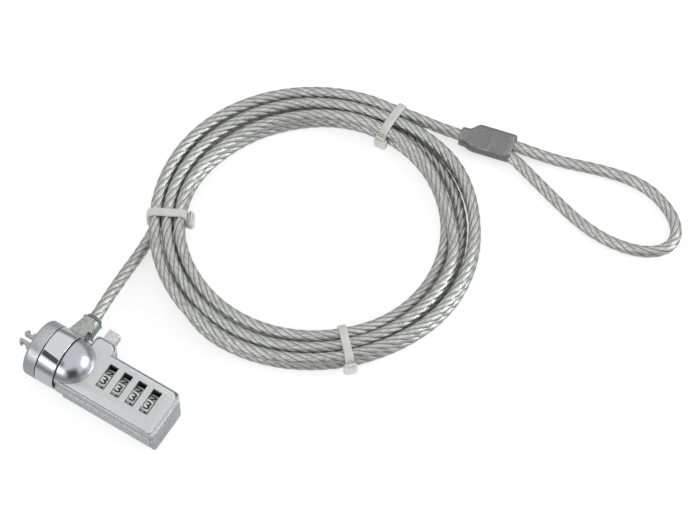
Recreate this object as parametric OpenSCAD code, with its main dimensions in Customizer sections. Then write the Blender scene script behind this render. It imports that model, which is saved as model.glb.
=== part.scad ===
// Laptop cable lock: a four-wheel combination lock whose two jaws spread inside a 3 x 7 mm
// security slot, with a swivel ring and a coated steel cable that ends in an anchor loop.
// X runs from the nose to the rear of the housing, Y towards the cable, Z up.
// The origin is the centre of the front cap's face, on the axis of the round head.

/* [Head] */
// Diameter of the front cap and the swivel ring
head_d = 20.4; // [20.2:0.1:20.8]
// Length of the front cap
cap_len = 4.9; // [4.6:0.1:5.2]
// Radius of the cap's front edge
cap_edge_r = 1.2; // [0.6:0.1:1.6]
// Length of the swivel ring
ring_len = 7; // [6.8:0.1:7.2]
// Gap on each side of the swivel ring
swivel_gap = 0.3; // [0.26:0.02:0.34]
// Radius of the bright dome behind the ring
dome_r = 9.8; // [9.2:0.1:9.8]

/* [Housing] */
// Width of the housing
housing_w = 18.4; // [18.2:0.1:18.8]
// Length of the housing behind the ring
housing_len = 39.8; // [39.6:0.1:40.4]
// Height of the deck above the head's axis
deck_z = 3.4; // [3.3:0.1:3.6]
// Thickness of the cover plate
cover_t = 1.2; // [1.1:0.1:1.3]
// Radius along the two lower edges
keel_r = 5; // [4.6:0.1:5]
// Distance of the button's shoulder from the axis
shoulder_y = 12.9; // [12.8:0.1:13.1]

/* [Nose] */
// Height of the two jaws, for a slot 3 mm wide
jaw_h = 2.4; // [2:0.1:2.5]
// How far the jaws reach ahead of the cap
jaw_reach = 6.6; // [6.2:0.1:7]
// Half width of the closed nose, for a slot 7 mm long
nose_half = 2.9; // [2.7:0.1:3]
// Angle by which each jaw swings out to lock
jaw_swing = 4; // [3:0.5:4]

/* [Wheels] */
// Radius of a number wheel over its corners
wheel_r = 6.4; // [6:0.1:6.5]
// Width of a number wheel
wheel_w = 2.9; // [2.7:0.1:3]
// Distance from wheel to wheel
wheel_pitch = 5.8; // [5.7:0.05:5.8]

/* [Button] */
// Length of the push button along the housing
button_l = 4.4; // [4:0.1:4.4]
// Thickness of the push button
button_t = 3.8; // [3.4:0.1:3.8]
// Distance of the button's face from the axis
button_y = 17.6; // [17:0.1:18]
// Travel of the button, and of the spindle that it drives
travel = 2.4; // [2.2:0.1:2.4]

/* [Cable] */
// Outer diameter of the coated cable
cable_d = 4.2; // [4:0.1:4.2]
// Mean radius of the coil
coil_r = 50.7; // [50:0.1:51.5]
// Direction in which the coil is longest
coil_turn = 32.2; // [0:0.1:90]
// Width of the coil across that direction, as a share of its length
coil_squash = 0.944; // [0.92:0.004:1]
// Width of a cable tie
tie_w = 3.4; // [3:0.1:4]

/* [Hidden] */
$fn = 96;
eps = 0.01;

head_r = head_d / 2;
floor_z = -head_r;
half_w = housing_w / 2;
ring_x = cap_len + swivel_gap;
body_x = ring_x + ring_len + swivel_gap;
end_x = body_x + housing_len;
end_t = 1.3;
end_cap_x = end_x - end_t;
ledge_z = deck_z - cover_t;
rim_t = 0.45;
cover_gap = 0.2;
tie_gap = 0.035;
coil_inset = 0.12;
running = 0.06;

// Neck tube on which the ring turns, with the slot in which the jaws swing
neck_r = 6.4;
neck_x0 = 2;
neck_x1 = body_x + 1.7;
jaw_slot_y = 4.35;
jaw_slot_z = jaw_h / 2 + 0.15;

// Spindle line, below the head's axis, and what rides on it
spindle_z = deck_z + 0.15 - wheel_r;
spindle_r = 1.7;
spindle_bore = spindle_r + 0.08;
spindle_x0 = 8.5;
spindle_x1 = end_cap_x - 0.1;
fin_r = 3.1;
fin_t = 1;
fin_w = 1;
gate_w = 1.2;
keyway_r = 3.25;
gate_t = travel / 2;

window_x = body_x + 14.55;
window_l = 3.4;
window_y0 = -3.2;
window_y1 = 6.15;
wheel_shift = -0.15;
pocket_half = 1.75;
pocket_r = wheel_r + 0.35;
rear_rib_x = window_x + 3 * wheel_pitch + pocket_half + 1;

// Jaw pivots, inside the front of the housing
pivot_x = body_x + 3;
pivot_y = 2.6;
pin_r = 0.75;
wedge_x = 5;
wedge_half = 0.8;
wedge_slope = (pivot_x - wedge_x) * sin(jaw_swing) / travel;
wedge_full = wedge_half + wedge_slope * travel;

// Button, its flange and the sloping leg that pushes the spindle forward
button_x0 = body_x + 4.6;
button_z1 = 1.2;
flange_y = shoulder_y - 2.7;
flange_t = 1.3;
ramp_sum = button_x0 + 8.4;
leg_z0 = -4.5;
leg_z1 = -2.05;

// Cable: its height when it lies on the table, and the coil that rests on the ties
cable_r = cable_d / 2;
lie_z = floor_z + cable_r;
lug_x = body_x - 2.2;
lug_y = 18.4;
lug_half_t = 3.55;
coil_x = 52.4;
coil_y = 90.5;
coil_w = 3 * cable_d + 0.3;
coil_h = 2 * cable_d + 0.2;
strap_t = 1;
coil_z = floor_z + strap_t;
ferrule_x = 76;
ferrule_y = 149.2;
ferrule_a = 13;
ferrule_l = 19;
ferrule_h = 6;
ferrule_round = 2.4;

// Small hardware
screw_r = 0.8;
screw_head_r = 1.4;
screw_head_h = 1.1;
peg_r = 0.9;
peg_y = 6.6;
peg_z = -1;
leaf_y = -7.9;
leaf_t = 0.5;
reset_r = 2.25;
reset_x = body_x + 6;
clip_r = 2.7;
clip_t = 0.5;
spindle_wire_r = 0.18;
spindle_coil_r = 2.35;
spring_bore = 3;
button_wire_r = 0.16;
button_coil_r = 0.95;
button_spring_z = -0.6;
code_r = 4.1;
washer_t = 0.2;

// Points of the cable from the lug down to the table and in under the coil
lead_route = [[lug_x, 15, 0], [lug_x, 19, -0.1], [lug_x - 0.5, 23, -0.5], [9.2, 28, -1.4],
              [8.5, 33.5, -2.9], [7.8, 39.2, -4.5], [7.2, 45, -6.2], [6.7, 50.4, -7.6], [6.4, 55, lie_z],
              [6.2, 60, lie_z]];
// Points of the cable from inside the bundle into the ferrule
run_route = [[38, 139.5, -3.4], [44, 141.5, -3.4], [51, 143.4, -3.8], [57.2, 145.2, -4.8],
             [64, 146.9, -6.1], [70, 148.2, -7], [77, 149.7, -7.2]];
// Points of the anchor loop, from the ferrule round and back into it
loop_route = [[93.6, 155.6, -7.2], [98, 156.6, -7.6], [104.8, 158.1, lie_z],
              [112.6, 160, lie_z], [120.4, 162.6, lie_z], [128.4, 164.9, lie_z],
              [136, 166.2, lie_z], [143.6, 165.8, lie_z], [151.2, 163.2, lie_z],
              [157.4, 158.8, lie_z], [160, 153.6, lie_z], [158.8, 148.6, lie_z],
              [153.6, 144.2, lie_z], [146, 141.8, lie_z], [137, 141.1, lie_z],
              [127, 142.5, lie_z], [117.4, 145.1, lie_z], [108.6, 147.8, lie_z],
              [101, 150, -7.7], [94.8, 151.4, -7.2]];

// ---- helpers ----

module box(x0, x1, y0, y1, z0, z1)
    translate([x0, y0, z0]) cube([x1 - x0, y1 - y0, z1 - z0]);

module rod_x(x0, x1, r, y = 0, z = 0)
    translate([x0, y, z]) rotate([0, 90, 0]) cylinder(h = x1 - x0, r = r);

module rod_y(y0, y1, r, x, z)
    translate([x, y0, z]) rotate([-90, 0, 0]) cylinder(h = y1 - y0, r = r);

module rod_z(z0, z1, r, x, y)
    translate([x, y, z0]) cylinder(h = z1 - z0, r = r);

// Extrudes a Y-Z outline along X
module along_x(x0, x1)
    translate([x0, 0, 0]) rotate([90, 0, 90]) linear_extrude(x1 - x0) children();

// What a rounded corner of radius r at (x, y) takes away; dx and dy point out of the material
module corner_waste(x, y, dx, dy, r)
    translate([x - dx * r, y - dy * r]) difference() {
        translate([dx > 0 ? 0 : -r - 1, dy > 0 ? 0 : -r - 1]) square(r + 1);
        circle(r);
    }

function unit(v) = v / norm(v);
function heading(path, i) =
    unit(path[min(i + 1, len(path) - 1)] - path[max(i - 1, 0)]);
function ring_points(centre, along, up, r, n) =
    let (s = unit(cross(along, up)), t = cross(s, along))
    [for (k = [0:n - 1]) centre + r * (cos(360 * k / n) * s + sin(360 * k / n) * t)];

// A closed tube swept along a path
module tube(path, r, n = 10, up = [0, 0, 1]) {
    last = len(path) - 1;
    points = [for (i = [0:last]) each ring_points(path[i], heading(path, i), up, r, n)];
    sides = [for (i = [0:last - 1], k = [0:n - 1]) let (a = i * n + k, b = i * n + (k + 1) % n)
             each [[a, a + n, b], [b, a + n, b + n]]];
    caps = [[for (k = [0:n - 1]) k], [for (k = [n - 1:-1:0]) last * n + k]];
    polyhedron(points = points, faces = concat(caps, sides), convexity = 8);
}

// Points of a helix about Z with flat end turns
function helix(r, length, turns, steps = 12) =
    [for (i = [0:turns * steps])
        let (t = i / steps, rise = min(max(t - 0.5, 0), turns - 1) / (turns - 1))
        [r * cos(360 * t), r * sin(360 * t), length * rise]];

function place_on_x(p, x, z) = [for (q = p) [x + q[2], q[0], z + q[1]]];
function place_on_y(p, x, y, z) = [for (q = p) [x + q[1], y + q[2], z + q[0]]];

// ---- head ----

module front_cap() {
    color("silver") difference() {
        rotate([0, 90, 0]) rotate_extrude() {
            square([head_r - cap_edge_r, cap_len]);
            translate([0, cap_edge_r]) square([head_r, cap_len - cap_edge_r]);
            translate([head_r - cap_edge_r, cap_edge_r]) intersection() {
                circle(cap_edge_r);
                translate([0, -cap_edge_r]) square(2 * cap_edge_r);
            }
        }
        rod_x(neck_x0, cap_len + 1, neck_r);
        box(-1, neck_x0 + 1, -jaw_slot_y, jaw_slot_y, -jaw_slot_z, jaw_slot_z);
    }
}

module neck_tube() {
    color("darkgray") difference() {
        rod_x(neck_x0, neck_x1, neck_r);
        box(neck_x0 - 1, neck_x1 + 1, -jaw_slot_y, jaw_slot_y, -jaw_slot_z, jaw_slot_z);
        rod_x(spindle_x0 - travel - 0.6, neck_x1 + 1, spindle_bore, 0, spindle_z);
        box(spindle_x0 - travel - 0.6, neck_x1 + 1, -1.6, 1.6, spindle_z, 0);
    }
}

module washer(x0) difference() {
    rod_x(x0, x0 + washer_t, head_r - 0.6);
    rod_x(x0 - 1, x0 + 1, neck_r + running);
}

module swivel_washers() {
    color("black") {
        washer(cap_len);
        washer(body_x - washer_t);
    }
}

module swivel_ring() {
    color("whitesmoke") difference() {
        rod_x(ring_x, ring_x + ring_len, head_r);
        rod_x(ring_x - 1, ring_x + ring_len + 1, neck_r + running);
    }
}

// Web and barrel that hold the cable, cast to sit on the ring
module cable_lug() {
    barrel_r = 3.5;
    color("darkseagreen") difference() {
        union() {
            translate([0, 0, -lug_half_t]) linear_extrude(2 * lug_half_t)
                polygon([[ring_x + 0.3, 7.5], [ring_x + ring_len, 7.5], [ring_x + ring_len, 12],
                         [lug_x + 3.3, 12], [lug_x + 1.1, lug_y - 1], [lug_x - 2.3, lug_y - 1.5]]);
            difference() {
                translate([lug_x, 8, 0]) rotate([-90, 0, 0]) union() {
                    cylinder(h = lug_y - 9.2, r = barrel_r);
                    translate([0, 0, lug_y - 9.2 - eps]) cylinder(h = 1.2 + eps, r1 = barrel_r, r2 = 2.7);
                }
                box(ring_x + ring_len, lug_x + 5, 7, 12, -5, 5);
            }
        }
        rod_x(ring_x - 2, ring_x + ring_len + 4, head_r);
        rod_y(13, lug_y + 1, 2.6, lug_x, 0);
    }
}

module crimp_sleeve() {
    color("gray") difference() {
        rod_y(13, lug_y + 0.4, 2.6, lug_x, 0);
        rod_y(14, lug_y + 1, cable_r + 0.02, lug_x, 0);
    }
}

// ---- housing ----

// Plan of the housing, drawn in by an inset on every side but the front
module plan(inset, x1 = end_x) {
    w = half_w - inset;
    xe = x1 - inset;
    difference() {
        union() {
            translate([body_x, -w]) square([xe - body_x, 2 * w]);
            translate([body_x + 3.1 + inset, 0]) square([8.8 - 2 * inset, shoulder_y - inset]);
        }
        corner_waste(xe, w, 1, 1, 3 - inset);
        corner_waste(xe, -w, 1, -1, 1.2 - inset);
        corner_waste(body_x + 3.1 + inset, shoulder_y - inset, -1, 1, 1.6);
        corner_waste(body_x + 11.9 - inset, shoulder_y - inset, 1, 1, 2.6);
    }
}

module housing_section() {
    difference() {
        translate([-half_w, floor_z]) square([housing_w, deck_z - floor_z]);
        corner_waste(half_w, floor_z, 1, -1, keel_r);
        corner_waste(-half_w, floor_z, -1, -1, keel_r);
        // shallow channel along each side, below the rim
        for (s = [-1, 1]) translate([s * (half_w + 0.05), 0.1]) square([0.9, 1.7], center = true);
    }
}

module shoulder_section() {
    difference() {
        translate([0, -7]) square([shoulder_y, deck_z + 7]);
        corner_waste(shoulder_y, -7, 1, -1, 2.5);
    }
}

// Side view with the lower rear edge rounded
module side_view() {
    difference() {
        translate([body_x, floor_z]) square([housing_len, deck_z - floor_z]);
        corner_waste(end_x, floor_z, 1, -1, 2);
    }
}

module outer_body(x0, x1) {
    intersection() {
        union() {
            along_x(body_x, end_x) housing_section();
            along_x(body_x + 3.1, body_x + 11.9) shoulder_section();
        }
        translate([0, 0, floor_z - 1]) linear_extrude(deck_z - floor_z + 2) plan(0);
        translate([0, 20, 0]) rotate([90, 0, 0]) linear_extrude(40) side_view();
        box(x0, x1, -20, 20, -20, 20);
    }
}

module wheel_pocket(i) {
    x0 = window_x + i * wheel_pitch - pocket_half;
    x1 = x0 + 2 * pocket_half;
    rod_x(x0, x1, pocket_r, 0, spindle_z);
    box(x0, x1, -pocket_r, pocket_r, spindle_z, deck_z);
    box(x0, x1, -7.5, -6, -4.6, deck_z);
}

module screw_places()
    for (p = [[body_x + 11.35, 3.6], [body_x + 36.3, 4.3]], s = [-1, 1])
        translate([p[0], s * p[1], 0]) children();

module lower_housing() {
    color("silver") difference() {
        outer_body(body_x, end_cap_x);
        // round front collar
        difference() {
            box(body_x - 1, body_x + 2.8, -20, 20, -20, 20);
            rod_x(body_x - 2, body_x + 4, head_r);
        }
        // rebate for the cover plate
        translate([0, 0, ledge_z]) linear_extrude(cover_t + 1) plan(rim_t, end_x + 3);
        // neck tube, jaws and their pivot pins
        rod_x(body_x - 1, neck_x1, neck_r);
        box(neck_x1 - 1, pivot_x + 2, -4.7, 4.7, -jaw_slot_z, deck_z);
        box(neck_x1 - 1, pivot_x - 1.6, -1.6, 1.6, spindle_z, 0);
        for (s = [-1, 1]) rod_z(-1.92, 0, pin_r, pivot_x, s * pivot_y);
        // spindle, its keyway and the spring behind the last rib
        rod_x(body_x, rear_rib_x + 1, spindle_bore, 0, spindle_z);
        box(body_x + 9, rear_rib_x + 1, -gate_w / 2, gate_w / 2, spindle_z - keyway_r, spindle_z);
        rod_x(rear_rib_x, end_cap_x + 1, spring_bore, 0, spindle_z);
        // driving block of the spindle and leg of the button
        box(body_x + 2, button_x0 + button_l + 0.3, -2.1, shoulder_y - 1.3, leg_z0 - 0.2, leg_z1 + 0.1);
        // flange and shank of the button, and the button's spring
        box(button_x0 - 0.6, button_x0 + button_l + 0.6, flange_y - travel - 0.3, shoulder_y - 1.3,
            leg_z0 - 0.2, deck_z);
        box(button_x0 - 0.1, button_x0 + button_l + 0.1, shoulder_y - 2, shoulder_y + 1,
            button_z1 - button_t - 0.1, button_z1 + 0.1);
        rod_y(4.3, flange_y, button_coil_r + 0.35, button_x0 + button_l / 2, button_spring_z);
        // wheels and their detent spring
        for (i = [0:3]) wheel_pocket(i);
        box(window_x - 2.1, window_x + 3 * wheel_pitch + 2.1, leaf_y - 0.1, leaf_y + leaf_t + 0.05,
            -4.6, deck_z);
        // code reset screw, from below
        rod_z(floor_z - 1, -7.2, reset_r + 0.1, reset_x, 0);
        // cover screws, from below
        screw_places() {
            translate([0, 0, floor_z - 1]) cylinder(h = screw_head_h + 1.2, r = screw_head_r + 0.1);
            translate([0, 0, floor_z]) cylinder(h = 15, r = screw_r + 0.05);
        }
        // pegs of the end cap
        for (s = [-1, 1]) rod_x(end_cap_x - 2, end_cap_x + 1, peg_r, s * peg_y, peg_z);
    }
}

module cover_plate() {
    color("gainsboro") difference() {
        translate([0, 0, ledge_z]) linear_extrude(cover_t) difference() {
            plan(rim_t + cover_gap, end_cap_x + rim_t + cover_gap - 0.1);
            translate([body_x - 1, -20]) square([1.3, 40]);
        }
        for (i = [0:3]) {
            x0 = window_x + i * wheel_pitch - window_l / 2;
            box(x0, x0 + window_l, window_y0, window_y1, 0, deck_z + 1);
            // relief under the window's edge, clear of the wheel
            rod_x(x0, x0 + window_l, wheel_r + 0.12, 0, spindle_z);
        }
        screw_places() translate([0, 0, ledge_z - 1]) cylinder(h = 1.8, r = screw_r);
        rod_x(body_x - 1, neck_x1, neck_r);
    }
}

// Bright quarter dome that closes the deck against the ring
module dome() {
    color("whitesmoke") difference() {
        intersection() {
            translate([body_x, 0, 0]) sphere(r = dome_r);
            box(body_x, body_x + 12, -12, 12, deck_z, 12);
        }
        rod_x(body_x - 1, neck_x1, neck_r);
    }
}

module end_cap() {
    color("silver") {
        difference() {
            outer_body(end_cap_x, end_x);
            box(end_x - 0.5, end_x + 1, -20, 20, deck_z - 0.4, deck_z + 1);
        }
        for (s = [-1, 1]) rod_x(end_cap_x - 1.9, end_cap_x + eps, peg_r, s * peg_y, peg_z);
    }
}

module cover_screws() {
    color("dimgray") screw_places() difference() {
        union() {
            translate([0, 0, floor_z + 0.2]) cylinder(h = screw_head_h, r = screw_head_r);
            translate([0, 0, floor_z + 1]) cylinder(h = ledge_z + 0.7 - floor_z - 1, r = screw_r);
        }
        translate([0, 0, floor_z]) cylinder(h = 0.8, r = 0.6, $fn = 6);
    }
}

module jaw_pivot_pins() {
    color("dimgray") for (s = [-1, 1]) rod_z(-1.92, ledge_z - 0.05, pin_r, pivot_x, s * pivot_y);
}

// Leaf that presses a rib against each wheel
module detent_spring() {
    color("goldenrod") {
        box(window_x - 2, window_x + 3 * wheel_pitch + 2, leaf_y, leaf_y + leaf_t, -4.5, ledge_z - 0.1);
        for (i = [0:3]) {
            x = window_x + i * wheel_pitch + wheel_shift;
            rod_x(x - 1.2, x + 1.2, leaf_t, leaf_y + 0.8, spindle_z);
        }
    }
}

// ---- jaws and spindle ----

module jaw() {
    tip = -jaw_reach;
    difference() {
        translate([0, 0, -jaw_h / 2]) union() {
            linear_extrude(jaw_h)
                polygon([[tip, 0.9], [tip, nose_half - 1], [tip + 0.8, nose_half],
                         [tip + 1.5, nose_half], [tip + 1.5, nose_half - 1],
                         [tip + 3, nose_half - 1], [tip + 3, nose_half], [-0.2, nose_half],
                         [0.6, nose_half + 0.3], [pivot_x - 1, nose_half + 0.3],
                         [pivot_x - 1, 1.7], [wedge_x, 1.7], [wedge_x, 0.9]]);
            translate([pivot_x, pivot_y]) cylinder(h = jaw_h, r = 1.6);
        }
        rod_z(-jaw_h, jaw_h, pin_r + 0.05, pivot_x, pivot_y);
    }
}

module jaw_left() color("lightsteelblue") jaw();

module jaw_right() color("lightsteelblue") mirror([0, 1, 0]) jaw();

// Notched shaft that only passes the code rings when all four gates line up
module locking_spindle() {
    color("darkgray") {
        rod_x(spindle_x0, spindle_x1, spindle_r, 0, spindle_z);
        for (i = [0:3]) {
            x = window_x + i * wheel_pitch + wheel_shift + travel / 2;
            box(x - fin_t / 2, x + fin_t / 2, -fin_w / 2, fin_w / 2, spindle_z - fin_r, spindle_z);
        }
        translate([0, 0, leg_z0]) linear_extrude(leg_z1 - leg_z0)
            polygon([[button_x0 + 0.1, -1.9], [button_x0 + button_l - 0.5, -1.9],
                     [button_x0 + button_l - 0.5, ramp_sum - 0.14 - button_x0 - button_l + 0.5],
                     [button_x0 + 0.1, ramp_sum - 0.24 - button_x0]]);
    }
}

module spreader_wedge() {
    color("slategray") {
        translate([0, 0, -jaw_h / 2 + 0.05]) linear_extrude(jaw_h - 0.1)
            polygon([for (s = [1, -1]) each s > 0
                ? [[wedge_x - 1, wedge_half - wedge_slope], [wedge_x + travel, wedge_full],
                   [spindle_x0 + 2.5, wedge_full]]
                : [[spindle_x0 + 2.5, -wedge_full], [wedge_x + travel, -wedge_full],
                   [wedge_x - 1, wedge_slope - wedge_half]]]);
        difference() {
            box(spindle_x0 + 0.1, spindle_x0 + 2.5, -1.2, 1.2, spindle_z, -jaw_h / 2 + 0.1);
            rod_x(spindle_x0 - 1, spindle_x0 + 4, spindle_r, 0, spindle_z);
        }
    }
}

module spindle_clip() {
    color("dimgray") difference() {
        rod_x(spindle_x1 - clip_t - 0.1, spindle_x1 - 0.1, clip_r, 0, spindle_z);
        rod_x(spindle_x1 - 1, spindle_x1 + 1, spindle_r, 0, spindle_z);
    }
}

module spindle_spring() {
    color("lightgray")
        tube(place_on_x(helix(spindle_coil_r, spindle_x1 - rear_rib_x - 1.25, 3),
                        rear_rib_x + 0.25, spindle_z), spindle_wire_r, 6, [1, 0, 0]);
}

module push_button() {
    x1 = button_x0 + button_l;
    color("thistle") {
        box(button_x0, x1, flange_y, button_y, button_z1 - button_t, button_z1);
        box(button_x0 - 0.4, x1 + 0.4, flange_y, flange_y + flange_t, leg_z0, button_z1 + 0.4);
        translate([0, 0, leg_z0]) linear_extrude(leg_z1 - leg_z0)
            polygon([[button_x0 + 0.2, ramp_sum - button_x0 - 0.2], [x1 - 0.2, ramp_sum - x1 + 0.2],
                     [x1 - 0.2, flange_y + 0.5], [button_x0 + 0.2, flange_y + 0.5]]);
    }
}

module button_spring() {
    color("lightgray")
        tube(place_on_y(helix(button_coil_r, flange_y - 4.9, 7), button_x0 + button_l / 2, 4.55,
                        button_spring_z), button_wire_r, 6, [0, 1, 0]);
}

module reset_screw() {
    color("dimgray") difference() {
        rod_z(floor_z + 0.2, -7.3, reset_r, reset_x, 0);
        box(reset_x - 3, reset_x + 3, -0.4, 0.4, floor_z - 1, floor_z + 1);
    }
}

// ---- wheels ----

module number_wheel(i) {
    x = window_x + i * wheel_pitch + wheel_shift - wheel_w / 2;
    color("silver") difference() {
        translate([x, 0, spindle_z]) rotate([0, 90, 0]) rotate([0, 0, 18])
            cylinder(h = wheel_w, r = wheel_r, $fn = 10);
        rod_x(x - 1, x + wheel_w + 1, code_r + 0.05, 0, spindle_z);
    }
}

// Ring with one gate, which turns inside its number wheel
module code_ring(i) {
    x = window_x + i * wheel_pitch + wheel_shift;
    color("gold") difference() {
        rod_x(x - wheel_w / 2, x + wheel_w / 2, code_r, 0, spindle_z);
        rod_x(x + gate_t / 2, x + 3, fin_r + 0.2, 0, spindle_z);
        rod_x(x - 3, x - gate_t / 2, fin_r + 0.2, 0, spindle_z);
        rod_x(x - 3, x + 3, spindle_r + 0.1, 0, spindle_z);
        box(x - 3, x + 3, -gate_w / 2, gate_w / 2, spindle_z - fin_r - 0.1, spindle_z);
    }
}

// ---- cable ----

module cable_lead() color("lightgray") tube(lead_route, cable_r - 0.01);

module cable_run() color("lightgray") tube(run_route, cable_r - 0.01);

module cable_loop() color("lightgray") tube(loop_route, cable_r - 0.01);

// Outline of the bundle of turns across the coil, wider on the outside by extra
module bundle(grow = 0, extra = 0) {
    w = coil_w + extra + 2 * grow;
    h = coil_h + 2 * grow;
    r = cable_r + grow;
    translate([extra / 2, 0]) difference() {
        square([w, h], center = true);
        for (sx = [-1, 1], sy = [-1, 1]) corner_waste(sx * w / 2, sy * h / 2, sx, sy, r);
    }
}

module cable_coil() {
    color("lightgray") translate([coil_x, coil_y, coil_z + coil_h / 2]) rotate([0, 0, coil_turn])
        scale([1, coil_squash, 1]) rotate_extrude($fn = 72) translate([coil_r, 0])
            bundle(-coil_inset, $fn = 32);
}

// Flattened sleeve with a narrow neck towards the coil
module loop_ferrule() {
    color("gray") translate([ferrule_x, ferrule_y, floor_z]) rotate([0, 0, ferrule_a])
        intersection() {
            linear_extrude(ferrule_h)
                polygon([[0, -3.3], [0, 3.3], [3, 3.3], [6, 6.2], [ferrule_l, 6.2], [ferrule_l, -4.3],
                         [4, -4.3]]);
            rotate([90, 0, 90]) linear_extrude(ferrule_l) difference() {
                translate([-4.3, 0]) square([10.5, ferrule_h]);
                for (sy = [-1, 1]) {
                    corner_waste(6.2, ferrule_h / 2 + sy * ferrule_h / 2, 1, sy, ferrule_round);
                    corner_waste(-4.3, ferrule_h / 2 + sy * ferrule_h / 2, -1, sy, ferrule_round);
                }
            }
        }
}

// Strap round the bundle at an angle from the coil's long direction, with its head on the
// given side; extra takes in a strand that is just leaving the coil
module cable_tie(angle, head_side, extra = 0) {
    color("ivory") translate([coil_x, coil_y, 0]) rotate([0, 0, coil_turn])
        translate([coil_r * cos(angle), coil_r * coil_squash * sin(angle), 0])
        rotate([0, 0, atan2(sin(angle), coil_squash * cos(angle))]) {
        translate([0, tie_w / 2, coil_z + coil_h / 2]) rotate([90, 0, 0])
            linear_extrude(tie_w) difference() {
                bundle(strap_t, extra);
                bundle(tie_gap, extra);
            }
        x = head_side * (coil_w / 2 + strap_t + 1.2);
        box(x - 1.4, x + 1.4, -2.8, 2.8, coil_z + 1, coil_z + 6);
        box(x - 0.5, x + 0.5, -1.7, 1.7, coil_z + 5.9, coil_z + 8);
    }
}

module cable_tie_1() cable_tie(176.5, -1);
module cable_tie_2() cable_tie(57.5, -1, 2.4);
module cable_tie_3() cable_tie(-77.5, 1);

front_cap();
neck_tube();
swivel_washers();
swivel_ring();
cable_lug();
crimp_sleeve();
lower_housing();
cover_plate();
dome();
end_cap();
cover_screws();
jaw_pivot_pins();
detent_spring();
jaw_left();
jaw_right();
locking_spindle();
spreader_wedge();
spindle_clip();
spindle_spring();
push_button();
button_spring();
reset_screw();
number_wheel(0);  // number_wheel_1
number_wheel(1);  // number_wheel_2
number_wheel(2);  // number_wheel_3
number_wheel(3);  // number_wheel_4
code_ring(0);  // code_ring_1
code_ring(1);  // code_ring_2
code_ring(2);  // code_ring_3
code_ring(3);  // code_ring_4
cable_lead();
cable_coil();
cable_run();
cable_loop();
loop_ferrule();
cable_tie_1();
cable_tie_2();
cable_tie_3();
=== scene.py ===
import math
from contextlib import contextmanager

import bmesh
import bpy
import numpy as np
from mathutils import Matrix, Vector


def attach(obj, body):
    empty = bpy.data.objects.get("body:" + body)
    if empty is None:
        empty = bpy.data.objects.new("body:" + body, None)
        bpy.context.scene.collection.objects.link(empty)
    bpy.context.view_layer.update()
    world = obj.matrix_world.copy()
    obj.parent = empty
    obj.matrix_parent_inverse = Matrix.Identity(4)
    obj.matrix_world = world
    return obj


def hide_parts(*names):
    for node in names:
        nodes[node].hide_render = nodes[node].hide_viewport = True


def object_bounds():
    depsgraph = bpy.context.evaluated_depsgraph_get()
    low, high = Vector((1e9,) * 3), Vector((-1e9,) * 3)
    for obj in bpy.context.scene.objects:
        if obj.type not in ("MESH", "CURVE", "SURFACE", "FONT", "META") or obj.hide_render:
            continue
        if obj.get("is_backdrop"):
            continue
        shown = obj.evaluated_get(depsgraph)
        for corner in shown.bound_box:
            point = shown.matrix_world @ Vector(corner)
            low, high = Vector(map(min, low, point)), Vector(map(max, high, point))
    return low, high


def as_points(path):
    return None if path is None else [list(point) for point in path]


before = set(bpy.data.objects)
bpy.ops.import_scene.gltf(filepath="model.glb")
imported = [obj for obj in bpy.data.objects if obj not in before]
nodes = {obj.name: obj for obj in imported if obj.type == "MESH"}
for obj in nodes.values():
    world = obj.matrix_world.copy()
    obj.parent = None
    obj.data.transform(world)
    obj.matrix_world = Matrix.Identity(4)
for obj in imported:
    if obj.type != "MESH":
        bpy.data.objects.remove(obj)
cad_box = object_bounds()


def mm(*values):
    """Millimetres to metres."""
    return values[0] / 1000 if len(values) == 1 else tuple(v / 1000 for v in values)


# ---------------------------------------------------------------- camera

camera_data = bpy.data.cameras.new("camera")
camera_data.lens = 178.9
camera_data.sensor_width = 36
camera_data.clip_start = 0.05
camera_data.clip_end = 20
camera = bpy.data.objects.new("camera", camera_data)
camera.location = (0.36631, -0.38463, 1.05227)
camera.rotation_euler = (math.radians(27.7), 0, math.radians(32.2))
bpy.context.scene.collection.objects.link(camera)
bpy.context.scene.camera = camera

# ---------------------------------------------------------------- sizes

FLOOR_Z = -10.2  # table top, in millimetres below the head's axis
AXIS_Z = -2.85  # axis of the number wheels
WHEEL_X = (26.9, 32.7, 38.5, 44.3)  # middles of the four wheels
WHEEL_R = 6.4
WHEEL_W = 2.9
CABLE_D = 4.2
CABLE_R = CABLE_D / 2
STRANDS = 6
LAY = 24.0  # length in which a strand goes once round the cable
COIL_X, COIL_Y = 52.4, 90.5  # middle of the oval coil
COIL_R, COIL_SQUASH = 50.7, 0.944  # its mean radius along the long axis, and how much less it is across
COIL_TURN = 32.2  # degrees from X to its long axis
START_ANGLE = 212.0  # degrees from X at which the cable joins the coil
TURNS = 5 + 114 / 360

# ---------------------------------------------------------------- mesh helpers


def link(obj):
    bpy.context.scene.collection.objects.link(obj)
    return obj


def mesh_piece(name, points, faces):
    """A mesh object from points in metres."""
    data = bpy.data.meshes.new(name)
    data.from_pydata([tuple(map(float, p)) for p in points], [], faces)
    data.update()
    return link(bpy.data.objects.new(name, data))


@contextmanager
def editing(data):
    """Opens a mesh for bmesh work, and writes it back afterwards."""
    work = bmesh.new()
    work.from_mesh(data)
    yield work
    work.to_mesh(data)
    work.free()


def fix_outward(obj):
    """Joins doubled corners and turns every face outwards."""
    with editing(obj.data) as work:
        bmesh.ops.remove_doubles(work, verts=work.verts, dist=1e-7)
        bmesh.ops.recalc_face_normals(work, faces=work.faces)


def smooth_shade(obj, crisp=None):
    """Smooth shading, but edges sharper than crisp degrees stay crisp."""
    obj.data.shade_smooth()
    if crisp is not None:
        obj.data.set_sharp_from_angle(angle=math.radians(crisp))


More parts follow.
